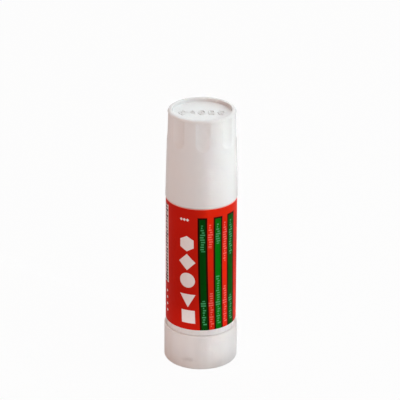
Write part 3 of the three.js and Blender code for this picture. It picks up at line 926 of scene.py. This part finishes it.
wall_low = cap_low + CAP_PLAIN_FOOT
band_low = flute_foot - FLUTE_MARGIN
lower_wall = even_steps(wall_low, band_low, WALL_ROWS)[:-1]
flute_band = even_steps(band_low, flute_top - 0.3, FLUTE_ROWS)
flute_end = [flute_top + step for step in FLUTE_TOP_STEPS]
top_radius = cap_radius_at(cap_high)
cap_edge = []
for turn_degrees in even_steps(*CAP_EDGE_TURNS, CAP_EDGE_STEPS):
    inwards = CAP_EDGE * (1 - math.cos(math.radians(turn_degrees)))
    downwards = CAP_EDGE * (1 - math.sin(math.radians(turn_degrees)))
    cap_edge.append((top_radius - inwards, cap_high - downwards, 0))
cap_outline = rounded_outline(
    [
        (inner_at(cap_low), cap_low, 0.2),
        (CAP_MOUTH, cap_low, 0.4),
        *[(cap_radius_at(level), level, 0) for level in lower_wall + flute_band + flute_end],
        *cap_edge,
        (top_radius - CAP_RIM_WIDTH, cap_high, 0.3),
        (top_radius - CAP_RIM_WIDTH, recess_level, 0.12),
        (0, recess_level, 0),
    ],
    closed=False,
    steps=6,
)
inside_levels = [roof_level - INSIDE_CORNER - INSIDE_STEP * row for row in range(INSIDE_ROWS)]
groove_low = cap_low + GROOVE_LOW
groove_high = cap_low + GROOVE_HIGH
cap_inside = rounded_outline(
    [
        (0, roof_level, 0),
        (inner_at(roof_level), roof_level, 0.4),
        *[(inner_at(level), level, 0) for level in inside_levels if level > stop_level + 0.2],
        (inner_at(stop_level + STOP_EDGE), stop_level + STOP_EDGE, 0),
        (inner_at(stop_level - STOP_EDGE), stop_level - STOP_EDGE, 0),
        (inner_at(groove_high), groove_high, 0),
        (inner_at(groove_high - GROOVE_SLOPE) + GROOVE_DEPTH, groove_high - GROOVE_SLOPE, 0.1),
        (inner_at(groove_low + GROOVE_SLOPE) + GROOVE_DEPTH, groove_low + GROOVE_SLOPE, 0.1),
        (inner_at(groove_low), groove_low, 0),
        (inner_at(cap_low + 0.4), cap_low + 0.4, 0),
    ],
    closed=False,
)
cap = turned_piece("fluted_cap", cap_inside + cap_outline, 360, reshape=cap_shape)

EMBOSS_SCALE = 0.5
EMBOSS_STRETCH = 1.5
EMBOSS_PITCH = 3.5
EMBOSS_HEIGHT = 0.32
EMBOSS_POINTS = 48
TRIANGLE_CORNER = 1.75
OTHER_CORNER = 1.3
RIDGE = (
    (1.0, -0.05),
    (0.99, 0.35),
    (0.95, 0.72),
    (0.88, 0.94),
    (0.80, 1.0),
    (0.72, 0.94),
    (0.65, 0.72),
    (0.61, 0.35),
    (0.60, -0.05),
)
DOT = ((0.30, -0.05), (0.29, 0.35), (0.25, 0.72), (0.17, 0.94), (0.08, 1.0))


def emboss(made, sides, inner, turn_degrees, centre):
    """Adds a low raised frame with a dot in it to the cap's top, both rounded over."""
    shell = bmesh.new()
    shell.from_mesh(made.data)
    corner_reach = TRIANGLE_CORNER if sides == 3 else OTHER_CORNER
    for section in (RIDGE, DOT):
        rings = []
        for reach_part, rise in section:
            level = recess_level + rise * EMBOSS_HEIGHT
            ring = []
            for step in range(EMBOSS_POINTS):
                angle = 2 * math.pi * step / EMBOSS_POINTS
                folded = nearest_of(sides, math.radians(turn_degrees), angle)
                reach = inner * min(1 / math.cos(folded), corner_reach) * reach_part
                x = centre + reach * math.sin(angle)
                y = reach * math.cos(angle) * EMBOSS_STRETCH
                ring.append(shell.verts.new((x * MM, y * MM, level * MM)))
            rings.append(ring)
        pairs = list(zip(rings, rings[1:]))
        if section is RIDGE:
            pairs.append((rings[-1], rings[0]))
        else:
            shell.faces.new(rings[-1])
            shell.faces.new(rings[0][::-1])
        for low, high in pairs:
            for face in faces_between(low, high):
                shell.faces.new(face)
    bmesh.ops.recalc_face_normals(shell, faces=shell.faces)
    shell.to_mesh(made.data)
    shell.free()


for index, (sides, inner, turn_degrees) in enumerate(SHAPES):
    centre = (index - len(SHAPES) // 2) * EMBOSS_PITCH
    emboss(cap, sides, inner * EMBOSS_SCALE, turn_degrees, centre)
cap.data.shade_smooth()
moulded_plastic("cap_white", CAP_WHITE, 0.22, glow=0.0, gloss=0.5, scuffs=0.2).put_on(cap)
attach(cap, "cap")
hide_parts("cap")

# The studio: a pale floor without an edge in a room that is warm at the left and cool at the
# right, soft lamps at the right and overhead, a narrow key strip, and small cards that
# lighten single parts. The camera stands at the photograph's angle, above the stick's top.
FLOOR_HALF = 3.0
FLOOR_GAP = 0.0001
FLOOR_WHITE = (0.80, 0.80, 0.80, 1)
FLOOR_GLOW = 0.95
PURE_WHITE = (1, 1, 1, 1)
ROOM_LEFT = (0.385, 0.183, 0.113, 1)
ROOM_RIGHT = (0.60, 0.63, 0.66, 1)
ROOM_BACK = (0.88, 0.91, 0.94, 1)
TO_RIGHT = (1.0, 0.0, 0.2)
TO_BACK = (0.0, 1.0, 0.2)
CAMERA_DISTANCE = 923.7
CAMERA_ELEVATION = math.radians(24.795)
CAMERA_LEVEL = 50.36
CAMERA_AIM = (-0.525, 0.0, 62.80)
CAMERA_ROLL = math.radians(0.363)
FOCAL_PIXELS = 2520.4
IMAGE_WIDTH = 400
SENSOR = 36.0

floor_mesh = bpy.data.meshes.new("floor")
corner_signs = ((-1, -1), (1, -1), (1, 1), (-1, 1))
floor_corners = [(x * FLOOR_HALF, y * FLOOR_HALF, -FLOOR_GAP) for x, y in corner_signs]
floor_mesh.from_pydata(floor_corners, [], [(0, 1, 2, 3)])
floor = bpy.data.objects.new("floor", floor_mesh)
bpy.context.collection.objects.link(floor)
pale = Finish("pale_floor")
pale.shader.inputs["Roughness"].default_value = 0.9
pale.shader.inputs["Specular IOR Level"].default_value = 0.0
pale.shader.inputs["Base Color"].default_value = FLOOR_WHITE
in_view = pale.node("ShaderNodeLightPath", {}).outputs["Is Camera Ray"]
glowing = pale.calc("MULTIPLY", in_view, FLOOR_GLOW)
glow = pale.node("ShaderNodeEmission", {"Color": PURE_WHITE, "Strength": 1.0}).outputs[0]
surface = {0: glowing, 1: pale.shader.outputs[0], 2: glow}
laid = pale.node("ShaderNodeMixShader", surface).outputs[0]
pale.tree.links.new(laid, pale.tree.nodes["Material Output"].inputs["Surface"])
pale.put_on(floor)

world = bpy.data.worlds.new("studio")
bpy.context.scene.world = world
world.use_nodes = True
room = Recipe(world.node_tree)
direction = room.node("ShaderNodeTexCoord", {}).outputs["Generated"]
rightwards = room.vector("DOT_PRODUCT", direction, TO_RIGHT)["Value"]
backwards = room.vector("DOT_PRODUCT", direction, TO_BACK)["Value"]
walls = room.blend(room.spread(rightwards, -0.4, 0.7, 0, 1, smooth=True), ROOM_LEFT, ROOM_RIGHT)
walls = room.blend(room.spread(backwards, 0.3, 0.8, 0, 1, smooth=True), walls, ROOM_BACK)
in_view = room.node("ShaderNodeLightPath", {}).outputs["Is Camera Ray"]
backdrop = room.tree.nodes["Background"]
backdrop.inputs["Strength"].default_value = 1.0
room.tree.links.new(room.blend(in_view, walls, PURE_WHITE), backdrop.inputs["Color"])


def soft_lamp(name, place, aim, size, watts, colour, spread=180, in_reflections=True):
    """An area lamp that the camera doesn't see, with its beam's spread in degrees. Its
    places and sizes are in metres."""
    lamp = bpy.data.lights.new(name, "AREA")
    lamp.shape = "RECTANGLE"
    lamp.size, lamp.size_y = size
    lamp.energy = watts
    lamp.color = colour
    lamp.spread = math.radians(spread)
    made = bpy.data.objects.new(name, lamp)
    bpy.context.collection.objects.link(made)
    made.location = place
    made.rotation_euler = (Vector(aim) - Vector(place)).to_track_quat("-Z", "Y").to_euler()
    made.visible_camera = False
    made.visible_glossy = in_reflections


KEY_TURN = math.radians(53)
KEY_REACH = 0.30
KEY_RISE = 0.10
KEY_OFFSET = 0.0056
KEY_LEVEL = 0.105
key_side = Vector((math.cos(KEY_TURN), math.sin(KEY_TURN), 0)) * KEY_OFFSET
key_aim = Vector((0, 0, KEY_LEVEL)) + key_side
key_out = Vector((math.sin(KEY_TURN) * KEY_REACH, -math.cos(KEY_TURN) * KEY_REACH, KEY_RISE))
soft_lamp(
    "key_strip",
    place=key_aim + key_out,
    aim=key_aim,
    size=(0.030, 0.20),
    watts=0.0060,
    colour=(0.88, 0.99, 0.96),
    spread=0.8,
    in_reflections=False,
)
soft_lamp(
    "right_softbox",
    place=(0.93, -0.42, 0.45),
    aim=(0, 0, 0.05),
    size=(0.8, 0.8),
    watts=1.76,
    colour=(0.93, 0.99, 1.0),
)
soft_lamp(
    "low_card",
    place=(-0.03, -0.055, 0.014),
    aim=(0, 0, 0.012),
    size=(0.03, 0.01),
    watts=0.00046,
    colour=(0.95, 0.98, 1.0),
    spread=40,
    in_reflections=False,
)
soft_lamp(
    "upper_card",
    place=(-0.060, -0.055, 0.096),
    aim=(0, 0, 0.088),
    size=(0.03, 0.006),
    watts=0.0085,
    colour=(1.0, 0.93, 0.92),
    in_reflections=False,
)
soft_lamp(
    "top_fill",
    place=(0.24, -0.20, 1.0),
    aim=(0, 0, 0.05),
    size=(0.8, 0.8),
    watts=1.8,
    colour=(0.88, 0.97, 1.0),
)
soft_lamp(
    "over_card",
    place=(0.24, 0.05, 0.58),
    aim=(0, 0, 0.0986),
    size=(0.03, 0.03),
    watts=0.0007,
    colour=(0.58, 0.9, 1.0),
    spread=6,
    in_reflections=False,
)

camera_data = bpy.data.cameras.new("camera")
camera_data.sensor_width = SENSOR
camera_data.sensor_fit = "HORIZONTAL"
camera_data.lens = FOCAL_PIXELS * SENSOR / IMAGE_WIDTH
camera_data.clip_start = 0.05
camera_data.clip_end = 20.0
camera = bpy.data.objects.new("camera", camera_data)
bpy.context.collection.objects.link(camera)
camera_place = Vector((
    0.0,
    -CAMERA_DISTANCE * math.cos(CAMERA_ELEVATION) * MM,
    (CAMERA_LEVEL + CAMERA_DISTANCE * math.sin(CAMERA_ELEVATION)) * MM,
))
forward = (Vector(CAMERA_AIM) * MM - camera_place).normalized()
level_right = forward.cross(Vector((0, 0, 1))).normalized()
level_up = level_right.cross(forward)
right = level_right * math.cos(CAMERA_ROLL) + level_up * math.sin(CAMERA_ROLL)
up = -level_right * math.sin(CAMERA_ROLL) + level_up * math.cos(CAMERA_ROLL)
stand = Matrix((right, up, -forward)).transposed().to_4x4()
stand.translation = camera_place
camera.matrix_world = stand
bpy.context.scene.camera = camera
bpy.context.scene.view_settings.view_transform = "Standard"
